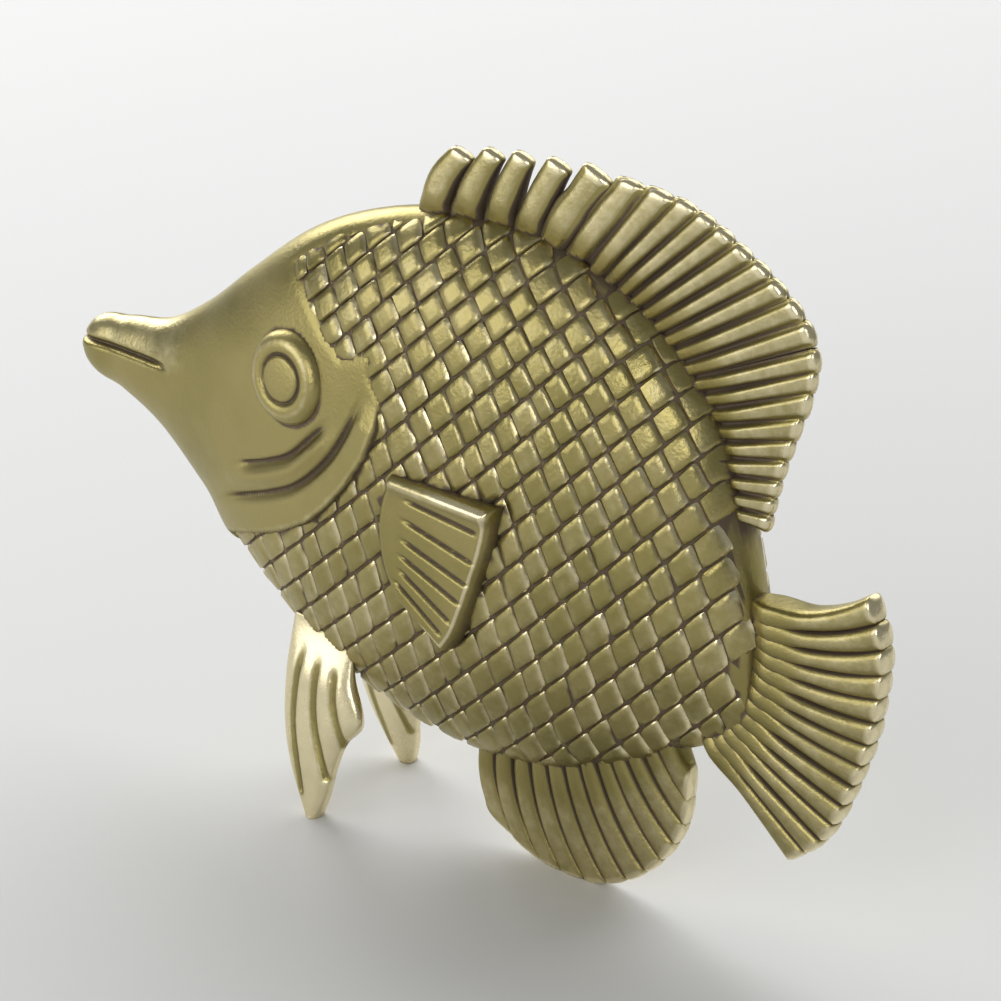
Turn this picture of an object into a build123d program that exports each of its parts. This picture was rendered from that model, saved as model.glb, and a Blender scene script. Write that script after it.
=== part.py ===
"""Brass butterfly fish, a small cast ornament that stands on its pelvic and anal fins.

The body, the fins and the eyes are separate castings.  Each median fin has a tongue in a slot
along the edge of the body, the paired fins have pegs in blind holes, and the eyes have shanks.
Every fit leaves the same thin gap for solder.

Frame: X runs from the snout to the tail, Y across the fish with its left side at -Y, Z up.
The origin is on the ground, under the middle of the fish.  Lengths are in millimetres.
"""

import os
from math import cos, radians, sin, sqrt

from build123d import *

os.makedirs("parts", exist_ok=True)

# Body: place along the fish, height of the crest, height of the keel, half thickness
body_stations = (
    (-26.0, 21.3, 20.0, 0.60),
    (-25.4, 22.0, 19.4, 0.95),
    (-23.0, 22.8, 18.6, 1.30),
    (-20.0, 23.5, 17.2, 1.75),
    (-17.0, 25.4, 14.7, 2.40),
    (-14.0, 28.0, 11.9, 3.10),
    (-10.0, 31.2, 8.7, 3.85),
    (-5.0, 33.6, 6.4, 4.35),
    (0.0, 34.7, 5.4, 4.50),
    (5.0, 34.8, 5.7, 4.35),
    (10.0, 33.3, 7.4, 3.85),
    (14.0, 30.2, 9.6, 2.95),
    (16.6, 26.6, 11.0, 2.15),
    (17.8, 23.4, 11.7, 1.70),
    (18.6, 19.6, 12.3, 1.30),
)
body_strips = 24

# Carved lines on the head: three points of each arc seen from the side, and its width
mouth_line = ((-27.0, 21.1), (-22.5, 21.5), (-18.5, 21.6))
mouth_line_width = 0.35
cover_line = ((-14.8, 13.6), (-7.0, 17.1), (-2.4, 24.8))
cover_line_width = 0.6
carved_depth = 0.3
carved_reach = 8.0

# Fits: gap for solder, and how far a tongue laps up into its fin
solder_gap = 0.05
tongue_lap = 0.6

# Rays of the median fins: filled share of the pitch, rise of their sloping sides, edge, web between rays,
# start in the body, and the bow below which a ray is made straight
ray_fill = 0.92
ray_steepness = 2.5
ray_edge = 0.56
web_thickness = 0.44
web_reach = 0.95
root_sink = 1.0
straight_bow = 0.3

# Dorsal fin: lines of its roots and tips, rays, forward bow, thickness, tongue, web of the free spines
dorsal_root_line = ((-1.9, 34.3), (2.7, 34.9), (7.6, 34.2), (12.4, 31.7), (15.6, 28.3), (18.1, 22.2))
dorsal_tip_line = (
    (-0.6, 37.8),
    (4.2, 39.0),
    (10.0, 39.2),
    (14.8, 38.3),
    (19.2, 35.7),
    (21.4, 32.9),
    (20.6, 28.6),
    (18.8, 22.8),
)
dorsal_ray_count = 24
dorsal_first_bow = 0.45
dorsal_last_bow = 0.0
dorsal_root_thickness = 2.0
dorsal_tip_thickness = 0.9
dorsal_tongue_thickness = 1.0
dorsal_tongue_depth = 2.0
dorsal_free_reaches = (0.32, 0.32, 0.38, 0.66, 0.80)

# Tail fin
tail_root_line = ((18.6, 19.7), (18.8, 16.2), (17.6, 13.0), (15.2, 10.4))
tail_tip_line = ((24.8, 21.7), (25.83, 19.4), (25.6, 15.4), (24.4, 11.1), (22.1, 6.7), (20.4, 5.5))
tail_ray_count = 13
tail_first_bow = -0.9
tail_last_bow = 0.1
tail_root_thickness = 2.3
tail_tip_thickness = 1.4
tail_tongue_thickness = 0.9
tail_tongue_depth = 2.4

# Anal fin, whose lower edge is ground flat as the rear foot
anal_root_line = ((1.4, 5.4), (5.6, 5.9), (9.6, 7.3), (14.0, 9.8))
anal_tip_line = ((2.6, 1.0), (5.2, -0.3), (9.0, -0.2), (12.5, 2.2), (14.5, 5.8), (14.6, 9.0))
anal_ray_count = 12
anal_first_bow = -0.9
anal_last_bow = -0.2
anal_root_thickness = 2.0
anal_tip_thickness = 1.1
anal_tongue_thickness = 1.0
anal_tongue_depth = 2.0

# Grooves on the paired fins: a square bar on its edge, sunk in by this depth
fin_groove_depth = 0.25

# Pectoral fin: its outer face leans out towards the tail, and its inner face is cut to the flank
pectoral_centre = (2.1, -5.2, 18.0)
pectoral_lean = 6.0
pectoral_thickness = 1.6
pectoral_corner = 0.5
pectoral_bevel = 0.2
pectoral_outline = (
    (-2.9, 3.8),
    (3.6, 4.2),
    (2.2, -0.6),
    (0.5, -4.7),
    (-1.6, -3.7),
    (-3.2, -2.0),
    (-3.5, 0.6),
)
pectoral_grooves = (
    ((-2.4, 2.8), (2.7, 2.5)),
    ((-2.5, 1.9), (2.4, 0.8)),
    ((-2.6, 0.9), (1.9, -0.5)),
    ((-2.6, 0.1), (1.3, -1.7)),
    ((-2.7, -0.6), (0.7, -2.8)),
    ((-2.8, -1.4), (-0.1, -3.6)),
)
pectoral_peg_place = (-1.6, 0.5)
pectoral_peg_radius = 0.8
pectoral_peg_start = 0.3
pectoral_peg_end = 2.8

# Pelvic fin: a leaf that leans out down to its foot, with heights measured up the leaf
pelvic_foot = 3.83
pelvic_splay = 9.3
pelvic_thickness = 1.3
pelvic_bevel = 0.35
pelvic_front = ((-7.3, -0.5), (-9.0, 2.1), (-9.95, 6.4), (-9.9, 10.9))
pelvic_lobes = ((-7.3, -0.5), (-6.3, 1.4), (-6.0, 3.6), (-5.0, 4.7), (-4.7, 5.9), (-5.6, 8.0), (-5.8, 10.9))
pelvic_grooves = (
    ((-8.9, 9.0), (-8.2, 1.6)),
    ((-7.7, 8.6), (-6.2, 3.3)),
    ((-6.4, 8.0), (-5.3, 4.6)),
)
pelvic_peg_x = -7.8
pelvic_peg_start = 8.0
pelvic_peg_end = 11.6
pelvic_peg_radius = 0.6

# Eye: centre on the flank, lean with the flank, then rises from its seat and radii
eye_x = -8.9
eye_z = 24.7
eye_turn = 5.0
eye_tilt = 8.0
eye_radius = 2.4
eye_seat_depth = 0.4
eye_seat_clear = 1.5
eye_ring_rise = 0.6
eye_ring_outer = 2.1
eye_ring_inner = 1.7
eye_groove_radius = 1.4
eye_pupil_radius = 1.25
eye_pupil_flat = 0.85
eye_groove_rise = 0.15
eye_pupil_rise = 0.5
eye_shank_radius = 0.9
eye_shank_depth = 2.2


def section_corners(crest, keel, half):
    """Corners of a body section: points of an ellipse, closer together where it is sharper."""
    high = (crest - keel) / 2
    corners = []
    for k in range(body_strips):
        turned = radians(360 * (k + 0.5) / body_strips)
        reach = sqrt(half * cos(turned) ** 2 + high * sin(turned) ** 2)
        corners.append((half**1.5 * cos(turned) / reach, high**1.5 * sin(turned) / reach))
    return corners


def body_form(grow):
    """The plain body, lofted in strips from snout to tail, with its whole skin moved out by grow."""
    sections = []
    first = body_stations[0][0]
    last = body_stations[-1][0]
    for x, crest, keel, half in body_stations:
        end_shift = grow * ((x == last) - (x == first))
        plane = Plane(origin=(x + end_shift, 0, (crest + keel) / 2), x_dir=(0, 1, 0), z_dir=(1, 0, 0))
        with BuildSketch(plane) as section:
            with BuildLine():
                Polyline(*section_corners(crest + grow, keel - grow, half + grow), close=True)
            make_face()
        sections.append(section.sketch)
    with BuildPart() as form:
        loft(sections)
    return form.part


def flank_half(x, z):
    """Half thickness of the body at a place on the flank, between the two nearest stations."""
    before = [station for station in body_stations if station[0] <= x][-1]
    after = [station for station in body_stations if station[0] > x][0]
    share = (x - before[0]) / (after[0] - before[0])
    crest, keel, half = (a + share * (b - a) for a, b in zip(before[1:], after[1:]))
    rise = z - (crest + keel) / 2
    corners = sorted(section_corners(crest, keel, half), key=lambda corner: corner[1])
    below = [corner for corner in corners if corner[0] > 0 and corner[1] <= rise][-1]
    above = [corner for corner in corners if corner[0] > 0 and corner[1] > rise][0]
    return below[0] + (above[0] - below[0]) * (rise - below[1]) / (above[1] - below[1])


def along(ray, t):
    """Point on a ray, a quadratic curve, at t from 0 at the root to 1 at the tip."""
    root, control, tip = ray
    return root * (1 - t) ** 2 + control * (2 * t * (1 - t)) + tip * t**2


def heading(ray):
    """Direction of a ray from its root to its tip."""
    return (ray[2] - ray[0]).normalized()


def ray_plane(ray, t):
    """Plane across a ray at t, with its X axis along the fin and its Y axis across the fish."""
    ahead = heading(ray)
    return Plane(origin=along(ray, t), x_dir=(ahead.Z, 0, -ahead.X), z_dir=ahead)


def fan(root_line, tip_line, count, first_bow, last_bow):
    """Rays of a fin, spread evenly between its root line and its tip line."""
    with BuildLine(Plane.XZ) as roots:
        Spline(*root_line)
    with BuildLine(Plane.XZ) as tips:
        Spline(*tip_line)
    rays = []
    for i in range(count):
        place = (i + 0.5) / count
        root = roots.edge() @ place
        tip = tips.edge() @ place
        ahead = (tip - root).normalized()
        start = root - ahead * root_sink
        bow = first_bow + (last_bow - first_bow) * place
        control = (start + tip) / 2 + Vector(-ahead.Z, 0, ahead.X) * (2 * bow)
        rays.append((start, control, tip))
    return rays


def ray_width(rays, i, t):
    """Width of a ray at t: the filled share of the space between its neighbours."""
    low = max(i - 1, 0)
    high = min(i + 1, len(rays) - 1)
    apart = along(rays[high], t) - along(rays[low], t)
    return ray_fill * abs(apart.dot(ray_plane(rays[i], t).x_dir)) / (high - low)


def ray_bar(rays, i, root_thickness, tip_thickness):
    """One ray as a flat-sided bar: flat crowns, sloping sides and narrow edges, from root to tip."""
    start, control, tip = rays[i]
    bow = (control - (start + tip) / 2).length / 2
    rings = []
    for t in (0, 1) if bow < straight_bow else (0, 0.5, 1):
        side = ray_width(rays, i, t) / 2
        top = (root_thickness + (tip_thickness - root_thickness) * t) / 2
        edge = ray_edge / 2
        crown = side - (top - edge) / ray_steepness
        right = [(-side, edge), (-crown, top), (crown, top), (side, edge)]
        left = [(across, -out) for across, out in right[::-1]]
        plane = ray_plane(rays[i], t)
        rings.append([plane.from_local_coords((*corner, 0)) for corner in right + left])
    faces = [Face(Wire.make_polygon(ring)) for ring in (rings[0], rings[-1])]
    for near, far in zip(rings, rings[1:]):
        for k in range(len(near)):
            faces.append(Face(Wire.make_polygon([near[k - 1], near[k], far[k], far[k - 1]])))
    return Solid(Shell(faces))


def web_plan(rays, free_reaches):
    """Side outline of the thin sheet between the rays, short where the first spines stand free."""
    reaches = list(free_reaches) + [web_reach] * (len(rays) - 1 - len(free_reaches))
    valleys = []
    for ray, neighbour, reach in zip(rays, rays[1:], reaches):
        valleys.append((along(ray, reach) + along(neighbour, reach)) / 2)
    roots = [along(ray, 0) for ray in rays]
    first_side = [along(rays[0], reaches[0] * step / 4) for step in (4, 3, 2, 1)]
    last_side = [along(rays[-1], reaches[-1] * step / 4) for step in (1, 2, 3, 4)]
    with BuildSketch(Plane.XZ) as plan:
        Polygon([(point.X, point.Z) for point in roots + last_side + valleys[::-1] + first_side])
    return plan.sketch


def tongue_plan(rays, depth):
    """Side outline of a fin's tongue, from inside the body up into the fin."""
    outer = []
    inner = []
    for ray in rays[1:-1]:
        ahead = heading(ray)
        outer.append(along(ray, 0) + ahead * (root_sink + tongue_lap))
        inner.append(along(ray, 0) + ahead * (root_sink - depth))
    with BuildSketch(Plane.XZ) as plan:
        Polygon([(point.X, point.Z) for point in outer + inner[::-1]])
    return plan.sketch


def slot_plan(rays, depth):
    """Side outline of the slot for a tongue, larger by the solder gap."""
    with BuildSketch(Plane.XZ) as plan:
        offset(tongue_plan(rays, depth), amount=solder_gap, kind=Kind.INTERSECTION)
    return plan.sketch


def groove_section(plane, start, end):
    """Square bar on its edge at the start of a groove, and the groove's length."""
    begin = plane.from_local_coords((*start, 0))
    run = plane.from_local_coords((*end, 0)) - begin
    with BuildSketch(Plane(origin=begin, x_dir=plane.z_dir, z_dir=run)) as section:
        RegularPolygon(fin_groove_depth, 4)
    return section.sketch, run.length


# Shapes that several pieces share
seat_form = body_form(solder_gap)
dorsal_rays = fan(dorsal_root_line, dorsal_tip_line, dorsal_ray_count, dorsal_first_bow, dorsal_last_bow)
tail_rays = fan(tail_root_line, tail_tip_line, tail_ray_count, tail_first_bow, tail_last_bow)
anal_rays = fan(anal_root_line, anal_tip_line, anal_ray_count, anal_first_bow, anal_last_bow)
lean = radians(pectoral_lean)
pectoral_plane = Plane(
    origin=pectoral_centre,
    x_dir=(cos(lean), -sin(lean), 0),
    z_dir=(-sin(lean), -cos(lean), 0),
)
splay = radians(pelvic_splay)
pelvic_plane = Plane(origin=(0, -pelvic_foot, 0), x_dir=(1, 0, 0), z_dir=(0, -cos(splay), sin(splay)))
pelvic_peg_plane = Plane(
    origin=pelvic_plane.from_local_coords((pelvic_peg_x, pelvic_peg_start, 0)),
    x_dir=(1, 0, 0),
    z_dir=pelvic_plane.y_dir,
)
turn = radians(eye_turn)
tilt = radians(eye_tilt)
eye_plane = Plane(
    origin=(eye_x, -flank_half(eye_x, eye_z), eye_z),
    x_dir=(cos(turn), -sin(turn), 0),
    z_dir=(-sin(turn) * cos(tilt), -cos(turn) * cos(tilt), sin(tilt)),
)

# Carved lines of the mouth and the gill cover, down to a floor that follows the skin
with BuildPart() as carving:
    with BuildSketch(Plane.XZ):
        with BuildLine() as mouth:
            ThreePointArc(*mouth_line)
        trace(mouth.line, mouth_line_width)
        with BuildLine() as cover:
            ThreePointArc(*cover_line)
        trace(cover.line, cover_line_width)
    extrude(amount=carved_reach, both=True)
    add(body_form(-carved_depth), mode=Mode.SUBTRACT)

# Holes on the left side: eye seat and shank, pectoral peg, pelvic peg
with BuildPart() as left_sockets:
    with BuildSketch(eye_plane.offset(-eye_seat_depth - solder_gap)):
        Circle(eye_radius + solder_gap)
    extrude(amount=eye_seat_depth + solder_gap + eye_seat_clear)
    with BuildSketch(eye_plane):
        Circle(eye_shank_radius + solder_gap)
    extrude(amount=-eye_shank_depth - solder_gap)
    with BuildSketch(pectoral_plane):
        with Locations(pectoral_peg_place):
            Circle(pectoral_peg_radius + solder_gap)
    extrude(amount=-pectoral_peg_end - solder_gap)
    with BuildSketch(pelvic_peg_plane):
        Circle(pelvic_peg_radius + solder_gap)
    extrude(amount=pelvic_peg_end - pelvic_peg_start + solder_gap)

with BuildPart() as body:
    add(body_form(0))
    add(carving.part, mode=Mode.SUBTRACT)
    add(left_sockets.part, mode=Mode.SUBTRACT)
    mirror(left_sockets.part, about=Plane.XZ, mode=Mode.SUBTRACT)
    extrude(
        slot_plan(dorsal_rays, dorsal_tongue_depth),
        amount=dorsal_tongue_thickness / 2 + solder_gap,
        both=True,
        mode=Mode.SUBTRACT,
    )
    extrude(
        slot_plan(tail_rays, tail_tongue_depth),
        amount=tail_tongue_thickness / 2 + solder_gap,
        both=True,
        mode=Mode.SUBTRACT,
    )
    extrude(
        slot_plan(anal_rays, anal_tongue_depth),
        amount=anal_tongue_thickness / 2 + solder_gap,
        both=True,
        mode=Mode.SUBTRACT,
    )

with BuildPart() as dorsal_fin:
    for i in range(dorsal_ray_count):
        add(ray_bar(dorsal_rays, i, dorsal_root_thickness, dorsal_tip_thickness))
    extrude(web_plan(dorsal_rays, dorsal_free_reaches), amount=web_thickness / 2, both=True)
    add(seat_form, mode=Mode.SUBTRACT)
    extrude(tongue_plan(dorsal_rays, dorsal_tongue_depth), amount=dorsal_tongue_thickness / 2, both=True)

with BuildPart() as tail_fin:
    for i in range(tail_ray_count):
        add(ray_bar(tail_rays, i, tail_root_thickness, tail_tip_thickness))
    extrude(web_plan(tail_rays, ()), amount=web_thickness / 2, both=True)
    add(seat_form, mode=Mode.SUBTRACT)
    extrude(tongue_plan(tail_rays, tail_tongue_depth), amount=tail_tongue_thickness / 2, both=True)

with BuildPart() as anal_fin:
    for i in range(anal_ray_count):
        add(ray_bar(anal_rays, i, anal_root_thickness, anal_tip_thickness))
    extrude(web_plan(anal_rays, ()), amount=web_thickness / 2, both=True)
    add(seat_form, mode=Mode.SUBTRACT)
    extrude(tongue_plan(anal_rays, anal_tongue_depth), amount=anal_tongue_thickness / 2, both=True)
    split(bisect_by=Plane.XY, keep=Keep.TOP)

with BuildPart() as left_pectoral_fin:
    with BuildSketch(pectoral_plane) as outline:
        with BuildLine():
            Polyline(*pectoral_outline, close=True)
        make_face()
        fillet(outline.vertices(), pectoral_corner)
    extrude(amount=-pectoral_thickness)
    outer_face = left_pectoral_fin.faces().sort_by(Axis(pectoral_plane.origin, pectoral_plane.z_dir))[-1]
    chamfer(outer_face.edges(), pectoral_bevel)
    for start, end in pectoral_grooves:
        section, length = groove_section(pectoral_plane, start, end)
        extrude(section, amount=length, mode=Mode.SUBTRACT)
    add(seat_form, mode=Mode.SUBTRACT)
    with BuildSketch(pectoral_plane.offset(-pectoral_peg_start)):
        with Locations(pectoral_peg_place):
            Circle(pectoral_peg_radius)
    extrude(amount=pectoral_peg_start - pectoral_peg_end)

with BuildPart() as left_pelvic_fin:
    with BuildSketch(pelvic_plane):
        with BuildLine():
            front = Spline(*pelvic_front)
            lobes = Spline(*pelvic_lobes)
            Line(front @ 1, lobes @ 1)
        make_face()
    extrude(amount=pelvic_thickness / 2, both=True)
    leaf_sides = left_pelvic_fin.faces().sort_by(Axis(pelvic_plane.origin, pelvic_plane.z_dir))
    chamfer(leaf_sides[-1].edges() + leaf_sides[0].edges(), pelvic_bevel)
    for start, end in pelvic_grooves:
        section, length = groove_section(pelvic_plane.offset(pelvic_thickness / 2), start, end)
        extrude(section, amount=length, mode=Mode.SUBTRACT)
    add(seat_form, mode=Mode.SUBTRACT)
    split(bisect_by=Plane.XY, keep=Keep.TOP)
    with BuildSketch(pelvic_peg_plane):
        Circle(pelvic_peg_radius)
    extrude(amount=pelvic_peg_end - pelvic_peg_start)

with BuildPart() as left_eye:
    with BuildSketch(Plane(origin=eye_plane.origin, x_dir=eye_plane.x_dir, z_dir=-eye_plane.y_dir)):
        with BuildLine():
            Polyline(
                (0, eye_pupil_rise),
                (0, -eye_shank_depth),
                (eye_shank_radius, -eye_shank_depth),
                (eye_shank_radius, -eye_seat_depth),
                (eye_radius, -eye_seat_depth),
                (eye_radius, 0),
                (eye_ring_outer, eye_ring_rise),
                (eye_ring_inner, eye_ring_rise),
                (eye_groove_radius, eye_groove_rise),
                (eye_pupil_radius, eye_groove_rise),
                (eye_pupil_flat, eye_pupil_rise),
                close=True,
            )
        make_face()
    revolve(axis=Axis(eye_plane.origin, eye_plane.z_dir))

with BuildPart() as right_pectoral_fin:
    mirror(left_pectoral_fin.part, about=Plane.XZ)

with BuildPart() as right_pelvic_fin:
    mirror(left_pelvic_fin.part, about=Plane.XZ)

with BuildPart() as right_eye:
    mirror(left_eye.part, about=Plane.XZ)

pieces = {
    "body": body,
    "dorsal_fin": dorsal_fin,
    "tail_fin": tail_fin,
    "anal_fin": anal_fin,
    "left_pectoral_fin": left_pectoral_fin,
    "right_pectoral_fin": right_pectoral_fin,
    "left_pelvic_fin": left_pelvic_fin,
    "right_pelvic_fin": right_pelvic_fin,
    "left_eye": left_eye,
    "right_eye": right_eye,
}
for name, piece in pieces.items():
    piece.part.label = name
    export_step(piece.part, f"parts/{name}.step")
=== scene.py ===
"""Looks of the brass butterfly fish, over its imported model.

X runs from the snout to the tail, Y across the fish with its left side at -Y, and Z up.
Shapes are worked out in millimetres and written to the meshes in metres.
"""

import math

import bpy
import numpy as np
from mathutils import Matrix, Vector
from mathutils.bvhtree import BVHTree


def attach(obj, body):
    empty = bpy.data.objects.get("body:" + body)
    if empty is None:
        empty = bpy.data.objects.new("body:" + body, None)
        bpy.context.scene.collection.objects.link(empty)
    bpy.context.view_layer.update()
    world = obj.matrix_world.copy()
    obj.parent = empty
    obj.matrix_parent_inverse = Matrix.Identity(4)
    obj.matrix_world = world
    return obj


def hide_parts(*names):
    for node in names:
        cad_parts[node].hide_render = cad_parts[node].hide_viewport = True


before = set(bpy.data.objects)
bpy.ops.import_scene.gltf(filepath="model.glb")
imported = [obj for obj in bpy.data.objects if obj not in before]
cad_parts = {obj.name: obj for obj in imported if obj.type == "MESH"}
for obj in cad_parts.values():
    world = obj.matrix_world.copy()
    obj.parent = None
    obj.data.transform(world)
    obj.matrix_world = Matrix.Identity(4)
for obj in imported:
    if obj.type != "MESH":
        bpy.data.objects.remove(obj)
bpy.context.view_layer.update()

MM = 0.001

# Body: place along the fish, height of the crest, height of the keel, half thickness
BODY = np.array(
    (
        (-26.0, 21.3, 20.0, 0.60),
        (-25.4, 22.0, 19.4, 0.95),
        (-23.0, 22.8, 18.6, 1.30),
        (-20.0, 23.5, 17.2, 1.75),
        (-17.0, 25.4, 14.7, 2.40),
        (-14.0, 28.0, 11.9, 3.10),
        (-10.0, 31.2, 8.7, 3.85),
        (-5.0, 33.6, 6.4, 4.35),
        (0.0, 34.7, 5.4, 4.50),
        (5.0, 34.8, 5.7, 4.35),
        (10.0, 33.3, 7.4, 3.85),
        (14.0, 30.2, 9.6, 2.95),
        (16.6, 26.4, 11.0, 2.15),
        (17.8, 21.8, 11.7, 1.55),
        (18.6, 18.8, 12.3, 0.95),
    )
)
BODY_SEGMENTS = 320
BODY_RINGS = 300
# Rings crowd on the head and segments on the flanks, where the fine lines are
RING_SHARES = (0, 0.02, 0.18, 0.86, 1)
RING_PLACES = (-26.0, -25.6, -16.0, -2.0, 18.6)
FLANK_CROWDING = 0.34
NOSE_ROUND = 0.55
REAR_ROUND = 0.5

# Lines on the head, seen from the side
MOUTH_SLIT = ((-26.6, 21.15), (-24.0, 21.35), (-21.0, 21.5), (-18.4, 21.6))
CHEEK_GROOVE = ((-13.0, 18.4), (-10.0, 19.6), (-8.5, 20.4), (-7.0, 21.8), (-6.2, 22.6), (-5.4, 23.4))
GILL_GROOVE = (
    (-14.9, 15.6),
    (-12.0, 16.9),
    (-10.0, 17.8),
    (-8.0, 18.9),
    (-6.5, 20.2),
    (-5.3, 21.6),
    (-4.3, 23.3),
    (-3.2, 25.6),
)
COVER_EDGE = (
    (-14.8, 13.5),
    (-13.0, 14.3),
    (-11.0, 15.1),
    (-9.0, 16.0),
    (-7.0, 17.2),
    (-5.5, 18.6),
    (-4.3, 20.0),
    (-3.0, 21.9),
    (-2.3, 23.7),
    (-2.3, 25.2),
)
# Depths and widths of the cut lines, how much wider their lower side is, and the width of their dark cores
CHEEK_DEPTH = 0.3
GILL_DEPTH = 0.34
MOUTH_DEPTH = 0.3
LINE_WIDTH = 0.13
MOUTH_WIDTH = 0.16
LOWER_SIDE = 2.4
CORE_WIDTH = 0.1
LINE_STEPS = 40
# Shares of the lines over which they fade out
LINE_FADE = 0.2
MOUTH_FADE = 0.3
# Raised forms: the lower lip, the band between the cheek and gill lines, and the edge of the gill cover
LIP_RISE = 0.06
LIP_DROP = 0.42
LIP_WIDTH = 0.22
BAND_RISE = 0.18
BAND_WIDTH = 0.8
BAND_SPAN = (1.7, 2.6)
BAND_TOP = (0.15, 0.4)
COVER_RISE = 0.32
COVER_REACH = 2.6
COVER_TOP = 26
COVER_FADE = 0.15
# Rubbed parts of the head, a line along the gill cover and raised forms, and a painted highlight on the top
# of the snout
COVER_WEAR = 0.3
COVER_WEAR_WIDTH = 0.2
RAISED_WEAR = 0.6
SNOUT_HIGHLIGHT = 0.55
SNOUT_ALONG = (-15.0, -19.0)
SNOUT_UP = (20.0, 22.0)
# Dark on the body: dirt on the floor under the scales, and a painted shadow in a ring round the eye, darkest
# low down
FLOOR_GRIME = 0.7
FLOOR_GRIME_END = (17.4, 18.2)
EYE_SEAM = 2.52
EYE_SEAM_WIDTH = 0.14
EYE_SEAM_SHADOW = 0.85
EYE_SEAM_FADE = 0.65
EYE_SEAM_UP = (-1.2, 0.4)

# Area of the scales, seen from the side, from the cover edge round by the crest and the keel
SCALED_AREA = COVER_EDGE + (
    (-3.1, 26.2),
    (-3.2, 27.4),
    (-5.1, 26.6),
    (-6.6, 27.5),
    (-8.1, 28.8),
    (-9.8, 29.9),
    (-9.2, 30.5),
    (-7.0, 32.1),
    (-5.0, 33.0),
    (-3.0, 33.8),
    (-1.5, 34.3),
    (1.0, 36.0),
    (12.0, 35.0),
    (19.5, 26.0),
    (19.5, 8.0),
    (6.0, 4.0),
    (-6.0, 4.0),
    (-14.0, 9.0),
)
# Depth of the floor under the scales, the softness of its border, which grows on the nape, and its rear end
SCALE_DEPTH = 0.15
BORDER_SOFTNESS = 0.12
NAPE_SOFTNESS = 0.3
NAPE = (24.5, 27.0)
FLOOR_END = (18.2, 18.5)

# Rows of scales rise to the tail: height of row 0 and slope at ROW_X, distance between rows, how it widens
# up to the row from which it is even, and how the rows spread and bend towards the tail
ROW_X = 5
ROW_HEIGHT = 15.655
ROW_SLOPE = 0.8333
ROW_PITCH = 2.0203
ROW_WIDENING = 0.00727
EVEN_FROM_ROW = 7
ROW_SPREAD = 0.00813
ROW_BEND = 0.00665
# Lines across the rows fall to the tail: number of the line at x = 0 and distance between lines, both at
# LINE_Z, and how the lines spread, lean and bend upwards
LINE_Z = 10
LINE_START = 0.928
LINE_PITCH = 1.56
LINE_SPREAD = 0.00064
LINE_LEAN = 0.156
LINE_BEND = 0.0068
LINE_CURL = 0.0004
LATTICE_STEPS = 12
# Rows and lines that are tried, and the area, on the flat side, where a scale's middle may lie
SCALE_ROWS = range(-12, 18)
SCALE_LINES = range(-16, 28)
SCALES_ALONG = (-16, 18.2)
SCALES_UP = (4, 36)
PAST_BORDER = 1.0
RISE_PLACES = (16, 17)
RISE_LIMITS = (1.02, 0.93)
STEEPEST_RISE = 0.996
# Hand-cut unevenness: how far single cuts and whole rows wander, and the longer scales on the back
SCALE_SEED = 7
CUTS_IN_ROW = 60
FIRST_CUT = 20
CUT_WANDER = 0.12
ROW_WANDER = 0.3
BACK_ROWS = (4, 8)
BACK_LENGTHENING = 0.35
# One scale: cells, places of its cells across and along it, and the share of the lattice that it fills
PAD_CELLS = 5
ACROSS_CELLS = (0.0, 0.2, 0.6, 1.0)
ACROSS_PLACES = (0, 0.42, 0.86, 1.0)
ALONG_CELLS = (-1.0, -0.6, -0.2, 0.2, 0.6, 1.0)
ALONG_PLACES = (-1.0, -0.88, -0.42, 0.25, 0.68, 1.0)
FILL_ACROSS = 0.95
FILL_ALONG = 0.965
# Its wider foot, drawn-in corners, dome, rims, root and lean, and how it sinks at the border and the tail
FOOT_SPREAD = 1.03
CORNER_PULL = 0.09
PAD_DOME = 0.03
PAD_RIM = 0.07
PAD_REAR_RIM = 0.12
RIM_FROM = 0.9
PAD_ROOT = 0.12
PAD_LEAN = 0.05
BORDER_SINK = 0.16
BORDER = (-0.25, 0.2)
TAIL_SINK = 0.22
TAIL_SINK_SPAN = (17.6, 18.4)
PAD_SMOOTH_ANGLE = 48
# Its wear on the rim, a painted highlight on its rear rim, and its dirt
PAD_WEAR = 0.38
RIM_WEAR = 0.2
RIM_WEAR_SPAN = (0.5, 1.0)
REAR_PART = 0.5
REAR_RIM_HIGHLIGHT = 0.6
PAD_WEAR_SPREAD = (0.85, 1.15)
RIM_GRIME = 0.1
WALL_GRIME = 0.92

# Fin rays: power of their section, where 1 is round and less is squarer, and what a sheet takes off it,
# off the sides of its rays and adds to their width
RAY_SEGMENTS = 32
RAY_RINGS = 30
RAY_POWER = 0.75
SHEET_POWER_DROP = 0.42
SHEET_CROWN = 0.14
SHEET_OVERLAP = 0.4
# A peaked ray falls from its crest to a low web between these shares of its width
WEB_DROP = 0.55
WEB_FROM = 0.4
WEB_TO = 0.86
# Sink of the roots in the body, their rounding as a share of the length, slant of the tips, uneven thickness
ROOT_SINK = 0.9
ROOT_ROUND = 0.03
STEEPEST_SLANT = 2
OUTER_HALF = (0.5, 1)
UNEVEN = (0.92, 1.06)
CURVE_POINTS = 7
# Wear on the crests and tips, and dirt between the rays, with less of it outside, at the tips and on webs
CREST_WEAR = 0.5
CREST = (0.7, 1.0)
WORN_ALONG = (0.1, 0.5)
TIP_CAPS = (2.2, 0.3)
PEAK_WEAR = 0.1
TIP_WEAR = 0.8
GRIME_FROM = 0.66
GRIME_TO = 0.92
WEB_GRIME_SHIFT = 0.04
OUTER_HALF_CLEAN = 0.6
WEB_CLEAN = 0.25
WEB_LIGHTER = 0.3
TIP_CLEAN = 0.8
OUTSIDE_GRIME = 0.1

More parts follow.
